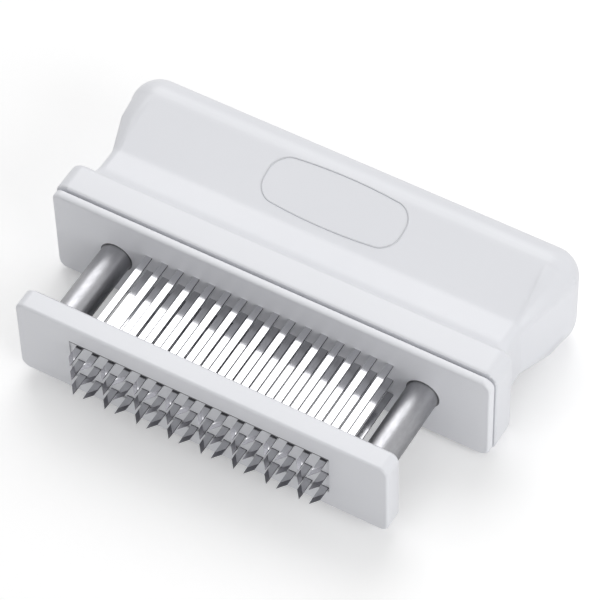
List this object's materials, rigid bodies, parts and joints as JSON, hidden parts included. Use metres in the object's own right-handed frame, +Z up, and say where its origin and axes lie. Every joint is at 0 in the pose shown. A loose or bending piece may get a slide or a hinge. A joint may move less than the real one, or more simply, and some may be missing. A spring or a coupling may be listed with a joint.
{
  "type": "blade meat tenderizer",
  "caption": "Hand blade tenderizer: moulded grip with rows of slant-tipped blades that pass through a sprung guard plate on two steel columns.",
  "frame": {"origin": "on the surface that the tool lies on, under the middle of its bounding box", "axes": "+Z up across the tool's width, X along the rows of blades, -Y the way the blades point, +Y towards the grip"},
  "size_m": [0.1486, 0.1024, 0.036],
  "materials": {
    "white_plastic": "satin white moulding",
    "column_steel": "satin drawn tube",
    "spring_steel": "spring wire",
    "blade_steel": "polished strip"
  },
  "bodies": {
    "handle": {"handle_shell": "white_plastic", "base_plate": "white_plastic", "blade_carrier": "white_plastic", "blade_1_01": "blade_steel", "blade_1_02": "blade_steel", "blade_1_03": "blade_steel", "blade_1_04": "blade_steel", "blade_1_05": "blade_steel", "blade_1_06": "blade_steel", "blade_1_07": "blade_steel", "blade_1_08": "blade_steel", "blade_1_09": "blade_steel", "blade_1_10": "blade_steel", "blade_1_11": "blade_steel", "blade_1_12": "blade_steel", "blade_1_13": "blade_steel", "blade_1_14": "blade_steel", "blade_1_15": "blade_steel", "blade_1_16": "blade_steel", "blade_2_01": "blade_steel", "blade_2_02": "blade_steel", "blade_2_03": "blade_steel", "blade_2_04": "blade_steel", "blade_2_05": "blade_steel", "blade_2_06": "blade_steel", "blade_2_07": "blade_steel", "blade_2_08": "blade_steel", "blade_2_09": "blade_steel", "blade_2_10": "blade_steel", "blade_2_11": "blade_steel", "blade_2_12": "blade_steel", "blade_2_13": "blade_steel", "blade_2_14": "blade_steel", "blade_2_15": "blade_steel", "blade_2_16": "blade_steel", "blade_3_01": "blade_steel", "blade_3_02": "blade_steel", "blade_3_03": "blade_steel", "blade_3_04": "blade_steel", "blade_3_05": "blade_steel", "blade_3_06": "blade_steel", "blade_3_07": "blade_steel", "blade_3_08": "blade_steel", "blade_3_09": "blade_steel", "blade_3_10": "blade_steel", "blade_3_11": "blade_steel", "blade_3_12": "blade_steel", "blade_3_13": "blade_steel", "blade_3_14": "blade_steel", "blade_3_15": "blade_steel", "blade_3_16": "blade_steel", "spring_left": "spring_steel", "spring_right": "spring_steel"},
    "guard": {"guard_plate": "white_plastic", "column_left": "column_steel", "column_right": "column_steel"}
  },
  "joints": [
    {"name": "guard_slide", "type": "slide", "parent": "handle", "child": "guard", "axis": [0, 1, 0], "range_m": [0, 0.029], "stiffness_N_per_m": 900, "springref_m": -0.004, "deforming": ["spring_left", "spring_right"]}
  ]
}
